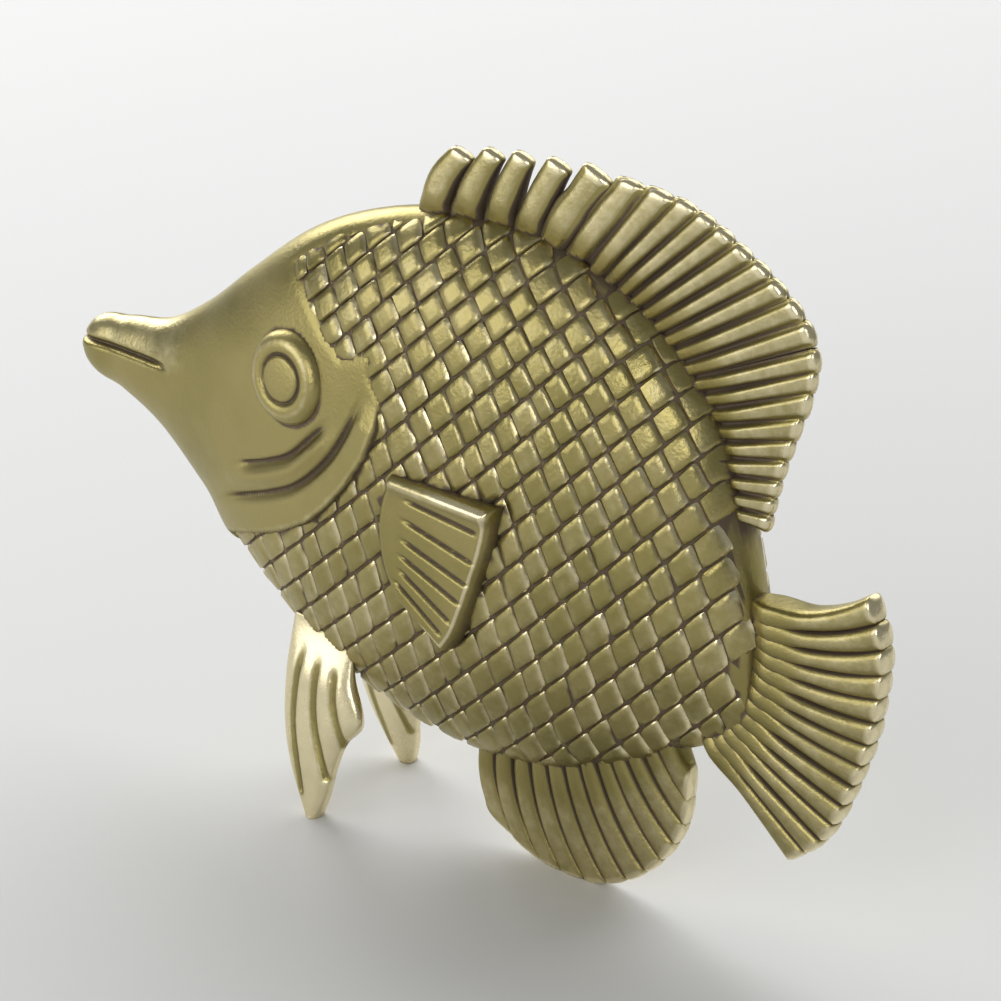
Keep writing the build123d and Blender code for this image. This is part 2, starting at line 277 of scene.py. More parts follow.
# Dorsal fin: roots and tips of its rays
DORSAL_ROOTS = ((-1.5, 34.3), (0.4, 34.7), (2.4, 34.9), (4.1, 34.8), (5.6, 34.6), (7.0, 34.2))
DORSAL_ROOT_LINE = ((8.3, 33.8), (12.4, 31.5), (15.4, 28.2), (17.3, 23.6))
DORSAL_TIPS = (
    (0.0, 37.8),
    (1.9, 38.3),
    (3.7, 38.6),
    (5.9, 38.75),
    (8.3, 38.85),
    (10.3, 38.9),
    (12.1, 38.8),
    (13.6, 38.6),
    (14.8, 38.2),
    (15.9, 37.7),
    (17.0, 37.1),
    (18.1, 36.5),
    (19.1, 35.8),
    (20.1, 35.0),
    (20.9, 34.0),
    (21.3, 32.7),
    (21.2, 31.6),
    (20.9, 30.3),
    (20.4, 28.9),
    (20.0, 27.7),
    (19.6, 26.5),
    (19.3, 25.4),
    (19.05, 24.4),
    (18.85, 23.4),
)
# Its first spines: share of the length that is joined to the next one, bow, and how far they are peaked
DORSAL_JOINED = (0.25, 0.25, 0.3, 0.6, 0.78)
SPINE_BOWS = (0.55, 0.3, 0.2, 0.15, 0.1)
SPINE_PEAKS = (0.15, 0.15, 0.15, 0.3, 0.6)
# A spine is free if less than this share is joined. Widths, joined and apart, are shares of the pitch
FREE_BELOW = 0.5
FREE_JOINED_WIDTH = 1.04
FREE_WIDTH = 0.8
FREE_TAPER = 0.16
TAPER_SPAN = (0.45, 1)
PARTING = (-0.12, 0.1)
HALF_FREE_WIDTH = 0.86
WEBBED_WIDTH = 1.07
WEBBED_END_WIDTH = 1.04
SPINE_SLANT = 0.25
DORSAL_SLANT = 0.7
DORSAL_CAP = 0.28
DORSAL_THICKNESS = 1.02
DORSAL_THINNING = 0.70
DORSAL_ROOT_SHARE = 0.55
DORSAL_ROOT_SPAN = (0.1, 0.4)

# Tail fin: its thickness thins to the tips and at the sunk roots, which run into one sheet
TAIL_ROOT_LINE = ((18.3, 19.5), (18.6, 16.4), (17.4, 13.2), (15.4, 10.8))
TAIL_TIP_LINE = ((24.9, 21.6), (25.75, 19.4), (25.6, 15.4), (24.4, 11.1), (22.2, 6.9), (20.6, 5.6))
TAIL_RAYS = 13
TAIL_FIRST_BOW = -0.75
TAIL_BOW_CHANGE = 0.8
TAIL_CAP = 0.24
TAIL_WIDTH = 1.07
TAIL_THICKNESS = 1.12
TAIL_THINNING = 0.5
TAIL_ROOT_SHARE = 0.45
TAIL_ROOT_END = 0.22
TAIL_SHEET_END = 0.5

# Anal fin, the rear foot
ANAL_ROOT_LINE = ((1.6, 5.6), (5.6, 6.1), (9.6, 7.5), (13.8, 9.9))
ANAL_TIP_LINE = ((2.4, 1.3), (5.2, 0.05), (9.0, 0.1), (12.3, 2.2), (14.2, 5.4), (14.5, 8.2))
ANAL_RAYS = 12
ANAL_FIRST_BOW = -0.8
ANAL_BOW_CHANGE = 0.6
ANAL_PEAK = 0.4
ANAL_CAP = 0.25
ANAL_WIDTH = 1.1
ANAL_THICKNESS = 0.98
ANAL_THINNING = 0.5

# Pectoral fin: front edge, rear edge and grooves, seen from the side
PECTORAL_FRONT = ((-1.2, 21.8), (-1.9, 20.3), (-2.2, 18.3), (-1.8, 16.3), (-0.9, 14.8))
PECTORAL_REAR = ((5.55, 21.95), (5.1, 19.75), (4.3, 17.45), (3.6, 15.6), (2.95, 14.1), (2.2, 13.0))
PECTORAL_GROOVES = (
    ((-0.6, 20.7), (5.3, 20.4)),
    ((-0.7, 19.6), (5.0, 18.6)),
    ((-0.8, 18.5), (4.6, 17.2)),
    ((-0.9, 17.6), (4.0, 16.0)),
    ((-0.9, 16.8), (3.3, 14.7)),
    ((-1.2, 16.1), (2.6, 13.8)),
)
PECTORAL_CELLS = (110, 120)
PECTORAL_CENTRE = (2.1, 5.2)
PECTORAL_LEAN = 4.5
PECTORAL_THICKNESS = 1.6
PECTORAL_SET_IN = 0.28
PECTORAL_ROUND = 0.42
PECTORAL_WALL_SLOPE = 0.4
PECTORAL_GROOVE_DEPTH = 0.24
PECTORAL_GROOVE_WIDTH = 0.12
PECTORAL_GROOVE_END = (0.06, 0.18)
# The brow, a thicker bar along its top edge, rubbed and with a painted highlight, and a painted highlight
# line inside its rim
BROW_RISE = 0.26
BROW_DROP = 0.45
BROW_WIDTH = 0.42
BROW_WEAR_AND_HIGHLIGHT = 2.4
RIM_LINE = 0.26
RIM_LINE_WIDTH = 0.12
RIM_LINE_ALONG = (0.3, 0.7)
# Painted shade along the edge of its face, and on its back and rear wall
RIM_SHADE = 0.5
RIM_SHADE_WIDTH = 0.12
PECTORAL_BACK_SHADE = 0.7

# Pelvic fin: front edge, lobed rear edge and grooves, measured up the leaf
PELVIC_FRONT = ((-9.8, 10.6), (-9.95, 7.5), (-9.75, 4.7), (-9.3, 3.0), (-8.5, 1.3), (-7.6, -0.15))
PELVIC_REAR = (
    (-5.9, 10.4),
    (-5.5, 8.0),
    (-4.75, 5.6),
    (-5.6, 4.5),
    (-6.1, 3.0),
    (-6.45, 1.2),
    (-6.9, -0.15),
)
PELVIC_GROOVES = (
    ((-8.8, 9.4), (-9.0, 5.0), (-8.0, 1.2)),
    ((-7.7, 9.0), (-7.6, 5.6), (-6.5, 2.4)),
    ((-6.6, 8.6), (-6.4, 6.6), (-5.6, 4.4)),
)
PELVIC_CELLS = (48, 96)
PELVIC_FOOT = 3.83
PELVIC_SPLAY = 9.3
# Half thickness at its edges, swelling between them, thinning to the foot, share that is left at its root
PELVIC_EDGE = 0.14
PELVIC_SWELL = 0.46
PELVIC_THINNING = 0.2
PELVIC_ROOT_SHARE = 0.15
PELVIC_ROOT_END = 0.3
PELVIC_POWERS = (2.6, 0.55)
PELVIC_GROOVE_DEPTH = 0.16
PELVIC_GROOVE_WIDTH = 0.2
# Its pale rubbed finish, which is also a painted highlight, less in the grooves, and dirt in the grooves
PELVIC_WEAR_AND_HIGHLIGHT = 0.95
PELVIC_GROOVE_WEAR = 6
PELVIC_GRIME = 0.7

# Eye: its place, and its turned outline from the pupil to the seat
EYE_PLACE = (-8.65, 24.6)
EYE_TURN = 5.0
EYE_TILT = 8.0
EYE_OUTLINE = (
    (0.0, 0.66),
    (0.5, 0.65),
    (0.9, 0.62),
    (1.12, 0.57),
    (1.20, 0.47),
    (1.25, 0.40),
    (1.31, 0.42),
    (1.40, 0.52),
    (1.58, 0.58),
    (1.86, 0.56),
    (2.10, 0.46),
    (2.28, 0.31),
    (2.40, 0.12),
    (2.46, -0.15),
    (2.42, -0.40),
    (2.30, -0.60),
    (0.0, -0.60),
)
EYE_CELLS = 72
EYE_FRONT_SHARE = 0.75
EYE_POLE = 1e-4
EYE_RIM = 1.9
EYE_RIM_WIDTH = 0.25
EYE_RIM_WEAR = 0.5
EYE_WEAR_ABOVE = 0.2
EYE_GROOVE = 1.25
EYE_GROOVE_WIDTH = 0.055
EYE_SEAT = (-0.05, -0.3)

# Dirt and painted shade in shut-in places: number of looks out, their reach and start, and what far walls
# and the painted dirt and shade count
LOOKS_OUT = 9
LOOK_REACH = 1.1
LOOK_START = 0.03
FAR_SHARE = 0.6
FULL_GRIME = 0.9
GRIME_SHARE = 0.5

# Colours of the brass, in two tones, of its rubbed places and painted highlights, of the dirt and painted
# shade in its grooves and hollows, and of the floor
BRASS_DARK = (0.318, 0.270, 0.098, 1)
BRASS_LIGHT = (0.387, 0.326, 0.130, 1)
BRASS_RUBBED_AND_HIGHLIGHT = (0.90, 0.80, 0.53, 1)
BRASS_DIRT_AND_SHADE = (0.105, 0.072, 0.056, 1)
FLOOR_COLOUR = (0.72, 0.72, 0.71, 1)
FLOOR_ROUGHNESS = 0.75
FLOOR_SIZE = 3
# Patterns of the cast skin: soft clouds, grains and fine specks, in repeats per metre
CLOUD_SCALE = 160
GRAIN_SCALE = 1500
SPECK_SCALE = 5200
BUMP_HEIGHT = 0.0001
BUMP_STRENGTH = 0.4

# Soft light in metres and watts: name, place, width and power of each lamp, and the glow all round
LAMPS = (
    ("back", (-0.02, 0.34, 0.32), 0.60, 1.5),
    ("left", (-0.36, 0.14, 0.22), 0.30, 1.1),
    ("front", (-0.28, -0.40, 0.14), 0.36, 0.65),
    ("fill", (0.10, -0.36, 0.16), 0.20, 0.35),
)
LAMP_AIM = (0, 0, 0.02)
GLOW_COLOUR = (0.75, 0.77, 0.78, 1)
GLOW = 0.34

# Camera at the photograph's angle: place in metres, way that it looks, focal length in pixels of the image
CAMERA_PLACE = (0.143519, -0.175148, 0.128126)
CAMERA_WAY = (-0.565843, 0.700869, -0.434285)
FOCAL_PIXELS = 5000
IMAGE_WIDTH = 1001
SENSOR_WIDTH = 36
CLIP_START = 0.01


def deselect():
    """Back to object mode, with nothing selected."""
    if bpy.context.object and bpy.context.object.mode != "OBJECT":
        bpy.ops.object.mode_set(mode="OBJECT")
    bpy.ops.object.select_all(action="DESELECT")


def pick(piece):
    """Selects one piece alone."""
    deselect()
    piece.select_set(True)
    bpy.context.view_layer.objects.active = piece


def read(piece):
    """Vertex places of a piece, as rows."""
    places = np.zeros(len(piece.data.vertices) * 3, np.float32)
    piece.data.vertices.foreach_get("co", places)
    return places.reshape(-1, 3).astype(float)


def write(piece, places):
    """Moves the vertices of a piece to new places."""
    piece.data.vertices.foreach_set("co", np.ascontiguousarray(places, np.float32).ravel())
    piece.data.update()


def paint(piece, name, values):
    """One number for each vertex, for the finish to read."""
    layer = piece.data.attributes.get(name) or piece.data.attributes.new(name, "FLOAT", "POINT")
    layer.data.foreach_set("value", np.ascontiguousarray(values, np.float32))


def painted(piece, name):
    """Numbers that were painted on a piece, or zeros."""
    values = np.zeros(len(piece.data.vertices), np.float32)
    if name in piece.data.attributes:
        piece.data.attributes[name].data.foreach_get("value", values)
    return values


def ball(name, segments, rings):
    """A unit ball, to be drawn out into a ray, a body or an eye."""
    deselect()
    bpy.ops.mesh.primitive_uv_sphere_add(segments=segments, ring_count=rings, radius=1)
    piece = bpy.context.object
    piece.name = name
    return piece


def slab(name, columns, rows):
    """A closed sheet from -1 to 1 with its face at height 0 and its back at -1."""
    deselect()
    bpy.ops.mesh.primitive_grid_add(x_subdivisions=columns, y_subdivisions=rows, size=2)
    piece = bpy.context.object
    piece.name = name
    bpy.ops.object.mode_set(mode="EDIT")
    bpy.ops.mesh.select_all(action="SELECT")
    bpy.ops.mesh.extrude_region_move(TRANSFORM_OT_translate={"value": (0, 0, -1)})
    bpy.ops.object.mode_set(mode="OBJECT")
    return piece


def on_face(places):
    """Which vertices of a slab are on its face and not on its back."""
    return places[:, 2] > -0.5


def turn_faces_out(piece):
    """Turns the faces of a closed piece outwards and shades it smooth."""
    pick(piece)
    bpy.ops.object.mode_set(mode="EDIT")
    bpy.ops.mesh.select_all(action="SELECT")
    bpy.ops.mesh.normals_make_consistent(inside=False)
    bpy.ops.object.mode_set(mode="OBJECT")
    bpy.ops.object.shade_smooth()


def join(name, parts):
    """One piece made of several."""
    deselect()
    for part in parts:
        part.select_set(True)
    bpy.context.view_layer.objects.active = parts[0]
    bpy.ops.object.join()
    whole = bpy.context.object
    whole.name = name
    return whole


def mirrored(piece, name):
    """The same piece on the other side of the fish."""
    other = piece.copy()
    other.data = piece.data.copy()
    other.name = name
    bpy.context.scene.collection.objects.link(other)
    write(other, read(other) * (1, -1, 1))
    other.data.flip_normals()
    return other


def ease(low, high, value):
    """0 below low, 1 above high, with a soft change between."""
    share = np.clip((value - low) / (high - low), 0, 1)
    return share * share * (3 - 2 * share)


def bell(distance, width):
    """1 at no distance, falling away softly over the width."""
    return np.exp(-((distance / width) ** 2))


def round_end(share):
    """Half width of a round end: 1 where it starts, at share 0, and 0 at its tip, at share 1."""
    return np.sqrt(np.clip(1 - np.clip(share, 0, 1) ** 2, 0, 1))


def smooth_through(marks, points, places):
    """Values at places on a smooth curve through points that stand at marks."""
    slopes = np.gradient(points, marks, axis=0)
    span = np.clip(np.searchsorted(marks, places, side="right") - 1, 0, len(marks) - 2)
    length = (marks[span + 1] - marks[span])[..., None]
    t = ((places - marks[span])[..., None]) / length
    return (
        points[span] * (2 * t**3 - 3 * t**2 + 1)
        + slopes[span] * length * (t**3 - 2 * t**2 + t)
        + points[span + 1] * (3 * t**2 - 2 * t**3)
        + slopes[span + 1] * length * (t**3 - t**2)
    )


def marks_along(points):
    """Places of points along the line through them, from 0 to 1."""
    steps = np.linalg.norm(np.diff(points, axis=0), axis=1)
    return np.concatenate(([0], np.cumsum(steps))) / steps.sum()


def follow(points, places):
    """Points on a smooth curve through the given points, at places from 0 to 1 along it."""
    points = np.array(points, float)
    return smooth_through(marks_along(points), points, np.asarray(places, float))


def station(x):
    """Crest, keel and half thickness of the body at places along it."""
    marks = BODY[:, 0]
    values = smooth_through(marks, BODY[:, 1:], np.clip(x, marks[0], marks[-1]))
    return values[..., 0], values[..., 1], values[..., 2]


def flank(x, z):
    """Half thickness of the body at places on its side, and how far up or down its section they are."""
    crest, keel, half = station(x)
    rise = (z - (crest + keel) / 2) / ((crest - keel) / 2)
    return half * np.sqrt(np.maximum(1 - rise**2, 0)), rise


def distance_to_line(x, z, line):
    """Distance to a line of points in the side view, and the place along it of the nearest point."""
    points = np.array(line, float)
    best = np.full(x.shape, np.inf)
    where = np.zeros(x.shape)
    for k in range(len(points) - 1):
        run = points[k + 1] - points[k]
        share = ((x - points[k, 0]) * run[0] + (z - points[k, 1]) * run[1]) / (run @ run)
        share = np.clip(share, 0, 1)
        gap = np.hypot(x - points[k, 0] - share * run[0], z - points[k, 1] - share * run[1])
        nearer = gap < best
        best = np.where(nearer, gap, best)
        where = np.where(nearer, (k + share) / (len(points) - 1), where)
    return best, where


def depth_in_scales(x, z):
    """Distance from the border of the scaled area: positive inside it, negative on the smooth head."""
    points = np.array(SCALED_AREA + SCALED_AREA[:1], float)
    gap, _ = distance_to_line(x, z, points)
    inside = np.zeros(x.shape, bool)
    for (x0, z0), (x1, z1) in zip(points[:-1], points[1:]):
        if z0 == z1:
            continue
        crosses = (z0 > z) != (z1 > z)
        inside ^= crosses & (x < x0 + (z - z0) * (x1 - x0) / (z1 - z0))
    return np.where(inside, gap, -gap)


def groove(x, z, points, depth):
    """Depth of a cut line, steep above and easy below, shallow at its ends, and its dark core."""
    line = follow(points, np.linspace(0, 1, LINE_STEPS))
    gap, where = distance_to_line(x, z, line)
    nudge = 0.02
    nudged, _ = distance_to_line(x - nudge, z + nudge, line)
    ends = ease(0, LINE_FADE, where) * ease(0, LINE_FADE, 1 - where)
    width = np.where(nudged < gap, LOWER_SIDE * LINE_WIDTH, LINE_WIDTH)
    return depth * bell(gap, width) * ends, bell(gap, CORE_WIDTH) * ends


def cut_head(x, z):
    """Depth of the lines cut in the head, and their dark cores."""
    cheek, cheek_core = groove(x, z, CHEEK_GROOVE, CHEEK_DEPTH)
    gill, gill_core = groove(x, z, GILL_GROOVE, GILL_DEPTH)
    gap, where = distance_to_line(x, z, MOUTH_SLIT)
    mouth = bell(gap, MOUTH_WIDTH) * ease(0, LINE_FADE, 1 - where)
    mouth_core = bell(gap, CORE_WIDTH) * ease(0, MOUTH_FADE, 1 - where)
    return cheek + gill + MOUTH_DEPTH * mouth, cheek_core + gill_core + mouth_core


def raise_head(x, z, ahead):
    """Rise of the lip, the band over the gill line and the gill cover, and distance to the cover's edge."""
    _, along_mouth = distance_to_line(x, z, MOUTH_SLIT)
    to_lip, _ = distance_to_line(x, z + LIP_DROP, MOUTH_SLIT)
    lip = LIP_RISE * bell(to_lip, LIP_WIDTH) * ease(0, MOUTH_FADE, 1 - along_mouth)
    to_cheek, _ = distance_to_line(x, z, CHEEK_GROOVE)
    to_gill, up_gill = distance_to_line(x, z, GILL_GROOVE)
    band = bell(to_cheek - to_gill, BAND_WIDTH) * (1 - ease(*BAND_SPAN, to_cheek + to_gill))
    band = band * ease(*BAND_TOP, 1 - up_gill) * ease(0, LINE_FADE, up_gill)
    to_edge, along_edge = distance_to_line(x, z, COVER_EDGE)
    cover = np.where(ahead, 1 - ease(0.0, COVER_REACH, to_edge), 0) * ease(0, COVER_FADE, 1 - along_edge)
    return lip + BAND_RISE * band + COVER_RISE * cover, to_edge


def make_body():
    """Smooth head with its cut lines, and the sunk floor under the scales."""
    piece = ball("brass_body", BODY_SEGMENTS, BODY_RINGS)
    places = read(piece)
    turn = np.arccos(np.clip(places[:, 2], -1, 1)) / math.pi
    around = np.arctan2(places[:, 1], places[:, 0])
    around = around - FLANK_CROWDING * np.sin(2 * around)
    x = np.interp(turn, RING_SHARES, RING_PLACES)
    crest, keel, half = station(x)
    nose_start = RING_PLACES[0] + NOSE_ROUND
    rear_start = RING_PLACES[-1] - REAR_ROUND
    close = round_end((nose_start - x) / NOSE_ROUND) * round_end((x - rear_start) / REAR_ROUND)
    high = (crest - keel) / 2
    out = np.cos(around)
    up = np.sin(around)
    z = (crest + keel) / 2 + high * up * close
    y = half * out * close
    inside = depth_in_scales(x, z)
    ahead = (inside < 0) & (z < COVER_TOP)
    soft = BORDER_SOFTNESS + NAPE_SOFTNESS * ease(*NAPE, z)
    sunk = ease(-soft, soft, inside) * (1 - ease(*FLOOR_END, x)) * SCALE_DEPTH
    cut, cores = cut_head(x, z)
    raised, to_edge = raise_head(x, z, ahead)
    shift = raised - sunk - cut
    normal = np.stack((out / np.maximum(half, 0.1), up / np.maximum(high, 0.1)), 1)
    normal /= np.linalg.norm(normal, axis=1, keepdims=True) + 1e-9
    y = y + normal[:, 0] * shift * close
    z = z + normal[:, 1] * shift * close
    write(piece, np.stack((x, y, z), 1) * MM)
    cover_line = np.where(ahead, bell(to_edge - COVER_WEAR_WIDTH, COVER_WEAR_WIDTH), 0)
    # Painted highlight on the top of the snout
    snout = SNOUT_HIGHLIGHT * ease(*SNOUT_ALONG, x) * ease(*SNOUT_UP, z)
    paint(piece, "wear_and_highlight", np.clip(cover_line * COVER_WEAR + raised * RAISED_WEAR + snout, 0, 1))
    under_scales = sunk / SCALE_DEPTH * FLOOR_GRIME * (1 - ease(*FLOOR_GRIME_END, x))
    # Painted shadow in a ring round the eye, darkest below it
    over_eye = z - EYE_PLACE[1]
    from_eye = np.hypot(x - EYE_PLACE[0], over_eye)
    eye_shadow = bell(from_eye - EYE_SEAM, EYE_SEAM_WIDTH)
    eye_shadow = eye_shadow * (EYE_SEAM_SHADOW - EYE_SEAM_FADE * ease(*EYE_SEAM_UP, over_eye))
    paint(piece, "grime_and_shade", np.clip(cores + under_scales + eye_shadow, 0, 1))
    return piece


def lattice_place(a, b):
    """Side-view place of a lattice point: rows of equal a rise to the tail, lines of equal b fall."""

    def along(up):
        straight = (b - LINE_START) * LINE_PITCH * (1 + LINE_SPREAD * up)
        return straight - (LINE_LEAN * up + LINE_BEND * up**2 + LINE_CURL * up**3)

    def along_per_up(up):
        straight = (b - LINE_START) * LINE_PITCH * LINE_SPREAD
        return straight - (LINE_LEAN + 2 * LINE_BEND * up + 3 * LINE_CURL * up**2)

    widening = np.minimum(a, EVEN_FROM_ROW)
    row = (1 - np.sqrt(1 - 4 * ROW_WIDENING * widening)) / (2 * ROW_WIDENING)
    row = row + np.maximum(a - EVEN_FROM_ROW, 0)
    level = ROW_HEIGHT + ROW_PITCH * row
    z = level.copy()
    for _ in range(LATTICE_STEPS):
        on = along(z - LINE_Z) - ROW_X
        slope = ROW_SPREAD * level + ROW_SLOPE + 2 * ROW_BEND * on
        miss = z - level * (1 + ROW_SPREAD * on) - ROW_SLOPE * on - ROW_BEND * on**2
        z = z - miss / (1 - slope * along_per_up(z - LINE_Z))
    return along(z - LINE_Z), z


def make_pad():
    """One scale: its vertices across and along it, which are on its face, its rim, height and faces."""
    pad = slab("scale", PAD_CELLS, PAD_CELLS)
    bpy.ops.object.mode_set(mode="EDIT")
    bpy.ops.mesh.select_all(action="DESELECT")
    bpy.ops.object.mode_set(mode="OBJECT")
    for face in pad.data.polygons:
        face.select = face.center.z < -0.99
    bpy.ops.object.mode_set(mode="EDIT")
    bpy.ops.mesh.select_mode(type="FACE")
    bpy.ops.mesh.dissolve_faces()
    turn_faces_out(pad)
    unit = read(pad)
    # The lattice mirrors the pad, so its faces run the other way round
    faces = [tuple(face.vertices)[::-1] for face in pad.data.polygons]
    bpy.data.objects.remove(pad)
    u = np.sign(unit[:, 0]) * np.interp(np.abs(unit[:, 0]), ACROSS_CELLS, ACROSS_PLACES)
    v = np.interp(unit[:, 1], ALONG_CELLS, ALONG_PLACES)
    top = on_face(unit)
    rim = np.maximum(np.abs(unit[:, 0]), np.abs(unit[:, 1]))
    pull = 1 - CORNER_PULL * np.abs(u * v) ** 2
    u, v = u * pull, v * pull
    rim_drop = np.where(v > RIM_FROM, PAD_REAR_RIM, PAD_RIM) * (rim > RIM_FROM)
    height = np.where(top, PAD_DOME * (1 - rim**2) - rim_drop, -SCALE_DEPTH - PAD_ROOT)
    return u, v, top, rim, height, faces


def has_scale(a, b):
    """Whether the lattice point is on the scaled flank, away from the edge of the rear body."""
    x, z = lattice_place(np.array([a]), np.array([b]))
    if not (SCALES_ALONG[0] < x[0] < SCALES_ALONG[1] and SCALES_UP[0] < z[0] < SCALES_UP[1]):
        return False
    _, rise = flank(x, z)
    limit = np.interp(x[0], RISE_PLACES, RISE_LIMITS)
    return depth_in_scales(x, z)[0] >= -PAST_BORDER and abs(rise[0]) <= limit


def lay_on_flank(a, b, lift, top):
    """Places of lattice points on the left flank, lifted off it, but sunk at the border and the tail."""
    x, z = lattice_place(a, b)
    _, rise = flank(x, z)
    crest, keel, thick = station(x)
    inside = depth_in_scales(x, z)
    rise = np.clip(rise, -STEEPEST_RISE, STEEPEST_RISE)
    z = (crest + keel) / 2 + rise * (crest - keel) / 2
    out = np.sqrt(1 - rise**2)
    normal = np.stack((out / thick, rise / ((crest - keel) / 2)), 1)
    normal /= np.linalg.norm(normal, axis=1, keepdims=True)
    lift = lift - BORDER_SINK * (1 - ease(*BORDER, inside)) * top
    lift = lift - TAIL_SINK * ease(*TAIL_SINK_SPAN, x) * top
    return np.stack((x, -(thick * out + normal[:, 0] * lift), z + normal[:, 1] * lift), 1)


def make_scales():
    """Rows of small raised pads, each a copy of one pad, laid on the left flank."""
    u, v, top, rim, height, pad_faces = make_pad()
    spread = np.where(top, 1.0, FOOT_SPREAD)
    # Wear on the rim, and a painted highlight on the rear rim
    rim_wear_and_highlight = ease(*RIM_WEAR_SPAN, rim) * (RIM_WEAR + REAR_RIM_HIGHLIGHT * (v > REAR_PART))
    pad_wear_and_highlight = np.where(top, PAD_WEAR + rim_wear_and_highlight, 0)
    pad_grime = np.where(top, RIM_GRIME * (rim > RIM_FROM), WALL_GRIME)
    jitter = np.random.default_rng(SCALE_SEED)
    places, faces, wear_and_highlight, grime_and_shade = [], [], [], []
    count = 0
    for i in SCALE_ROWS:
        cuts = jitter.uniform(-CUT_WANDER, CUT_WANDER, CUTS_IN_ROW)
        cuts = cuts + jitter.uniform(-ROW_WANDER, ROW_WANDER)
        lean = jitter.uniform(-1, 1, (CUTS_IN_ROW, 2)) * PAD_LEAN
        pitch = 1 + BACK_LENGTHENING * ease(*BACK_ROWS, i)
        for j in SCALE_LINES:
            k = j + FIRST_CUT
            low, high = (j + cuts[k]) * pitch, (j + 1 + cuts[k + 1]) * pitch
            if not has_scale(i + 0.5, (low + high) / 2):
                continue
            a = i + 0.5 + 0.5 * u * spread * FILL_ACROSS
            b = (low + high) / 2 + (high - low) / 2 * v * spread * FILL_ALONG
            lift = height + np.where(top, lean[k, 0] * u + lean[k, 1] * v, 0)
            places.append(lay_on_flank(a, b, lift, top))
            faces.extend(tuple(count + n for n in face) for face in pad_faces)
            wear_and_highlight.append(pad_wear_and_highlight * jitter.uniform(*PAD_WEAR_SPREAD))
            grime_and_shade.append(pad_grime)
            count += len(u)
    mesh = bpy.data.meshes.new("left_scales")
    mesh.from_pydata((np.concatenate(places) * MM).tolist(), [], faces)
    piece = bpy.data.objects.new("brass_left_scales", mesh)
    bpy.context.scene.collection.objects.link(piece)
    pick(piece)
    bpy.ops.object.shade_smooth_by_angle(angle=math.radians(PAD_SMOOTH_ANGLE))
    paint(piece, "wear_and_highlight", np.concatenate(wear_and_highlight))
    paint(piece, "grime_and_shade", np.concatenate(grime_and_shade))
    return piece


def make_ray(line, half_width, half_thickness, cap, slant, outer, merge, peak):
    """One fin ray: a rounded bar along a line from root to tip, with a blunt, slanted and rounded tip.

    Outer says which side of the ray is the fin's outside, merge how far it is one sheet with its
    neighbours, and peak how far it has a narrow crest over a low web.
    """
    piece = ball("ray", RAY_SEGMENTS, RAY_RINGS)
    places = read(piece)
    t = (places[:, 2] + 1) / 2
    around = np.arctan2(places[:, 1], places[:, 0])
    length = np.linalg.norm(np.diff(line, axis=0), axis=1).sum()
    middle = follow(line, t)
    ahead = follow(line, np.clip(t + 0.01, 0, 1)) - follow(line, np.clip(t - 0.01, 0, 1))
    ahead /= np.linalg.norm(ahead, axis=1, keepdims=True)
    share = cap / length
    close = round_end((t - 1 + share) / share) * round_end((ROOT_ROUND - t) / ROOT_ROUND)
    boxy = RAY_POWER - SHEET_POWER_DROP * merge(t)
    wide = np.sign(np.cos(around)) * np.abs(np.cos(around)) ** boxy
    reach = np.abs(wide)
    bar = np.abs(np.sin(around)) ** boxy
    ridge = 1 - WEB_DROP * peak * ease(WEB_FROM, WEB_TO, reach)
    crown = np.minimum(bar, ridge) * (1 - SHEET_CROWN * merge(t) * reach**2)
    across = wide * half_width(t) * close
    out = np.sign(np.sin(around)) * crown * half_thickness(t) * close
    onward = slant * across * ease(*OUTER_HALF, t)
    x = middle[:, 0] + ahead[:, 1] * across + ahead[:, 0] * onward
    z = middle[:, 1] - ahead[:, 0] * across + ahead[:, 1] * onward
    write(piece, np.stack((x, out, z), 1))
    tip = ease(1 - TIP_CAPS[0] * share, 1 - TIP_CAPS[1] * share, t)
    crest_wear = (CREST_WEAR + PEAK_WEAR * peak) * ease(*CREST, crown) * ease(*WORN_ALONG, t)
    paint(piece, "wear_and_highlight", np.clip(crest_wear + TIP_WEAR * tip, 0, 1))
    shift = WEB_GRIME_SHIFT * peak
    grime_and_shade = ease(GRIME_FROM - shift, GRIME_TO - shift, reach)
    clean = (OUTER_HALF_CLEAN - WEB_CLEAN * peak) * ease(*OUTER_HALF, t)
    grime_and_shade = grime_and_shade * (1 - clean) * (1 - WEB_LIGHTER * peak)
    grime_and_shade = grime_and_shade * (1 - TIP_CLEAN * tip) * (1 - merge(t))
    paint(piece, "grime_and_shade", np.where(wide * outer > 0, OUTSIDE_GRIME, 1) * grime_and_shade)
    return piece


